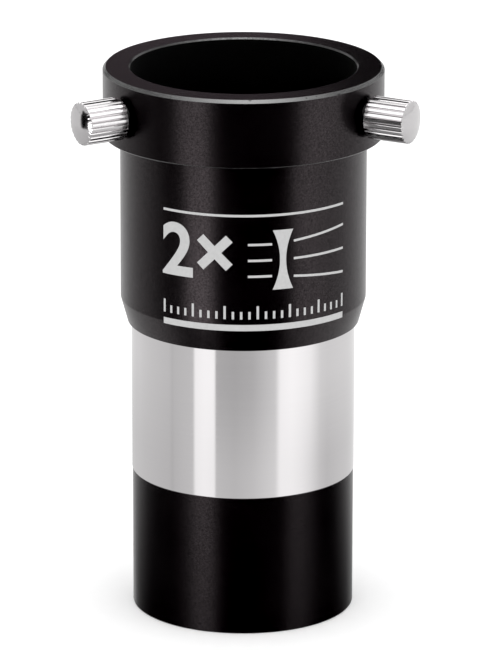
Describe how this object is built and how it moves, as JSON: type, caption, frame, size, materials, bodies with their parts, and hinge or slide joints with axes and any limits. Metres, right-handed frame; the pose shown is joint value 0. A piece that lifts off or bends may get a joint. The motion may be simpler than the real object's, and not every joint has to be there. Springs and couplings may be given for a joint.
{
  "type": "barlow lens",
  "caption": "Barlow lens: black eyepiece holder with thumbscrews on a chromed nosepiece, with a black lens cell that unscrews from the end.",
  "frame": {"origin": "centre of the lens cell's lower face, on the optical axis", "axes": "+Z along the optical axis towards the eyepiece end; the thumbscrews stand 30 degrees forward (-Y) of the +X and -X directions"},
  "size_m": [0.0488, 0.0398, 0.0793],
  "materials": {
    "holder_anodised": "satin black anodised",
    "tube_chrome": "polished plating",
    "cell_anodised": "satin black anodised",
    "optical_glass": "polished, anti-reflection coated",
    "spacer_black": "matt black anodised",
    "ring_anodised": "matt black anodised",
    "knob_chrome": "plated, straight knurl",
    "stud_steel": "plated M4 thread",
    "tip_nylon": "turned nylon"
  },
  "bodies": {
    "cell_assembly": {"lens_cell": "cell_anodised", "lens_retaining_ring": "ring_anodised"},
    "lens_group": {"biconcave_lens": "optical_glass", "lens_spacer": "spacer_black", "meniscus_lens": "optical_glass"},
    "barrel_assembly": {"barrel_tube": "tube_chrome", "eyepiece_holder": "holder_anodised"},
    "right_tip": {"right_thumbscrew_tip": "tip_nylon"},
    "right_screw": {"right_thumbscrew_knob": "knob_chrome", "right_thumbscrew_stud": "stud_steel"},
    "left_tip": {"left_thumbscrew_tip": "tip_nylon"},
    "left_screw": {"left_thumbscrew_knob": "knob_chrome", "left_thumbscrew_stud": "stud_steel"}
  },
  "joints": [
    {"name": "barrel_unscrew", "type": "hinge", "parent": "cell_assembly", "child": "lens_group", "pos_m": [0, 0, 0], "axis": [0, 0, 1], "range_deg": [0, 2520]},
    {"name": "barrel_rise", "type": "slide", "parent": "lens_group", "child": "barrel_assembly", "axis": [0, 0, 1], "range_m": [0, 0.0042]},
    {"name": "right_screw_advance", "type": "slide", "parent": "barrel_assembly", "child": "right_tip", "axis": [-0.866, 0.5, 0], "range_m": [-0.00175, 0.00052]},
    {"name": "right_screw_turn", "type": "hinge", "parent": "right_tip", "child": "right_screw", "pos_m": [0, 0, 0.0743], "axis": [-0.866, 0.5, 0], "range_deg": [-900, 270]},
    {"name": "left_screw_advance", "type": "slide", "parent": "barrel_assembly", "child": "left_tip", "axis": [0.866, 0.5, 0], "range_m": [-0.00175, 0.00052]},
    {"name": "left_screw_turn", "type": "hinge", "parent": "left_tip", "child": "left_screw", "pos_m": [0, 0, 0.0743], "axis": [0.866, 0.5, 0], "range_deg": [-900, 270]}
  ],
  "couplings": [
    {"joint": "barrel_unscrew", "follows": "barrel_rise", "rad_per_m": 10472},
    {"joint": "right_screw_turn", "follows": "right_screw_advance", "rad_per_m": 8976},
    {"joint": "left_screw_turn", "follows": "left_screw_advance", "rad_per_m": 8976}
  ]
}
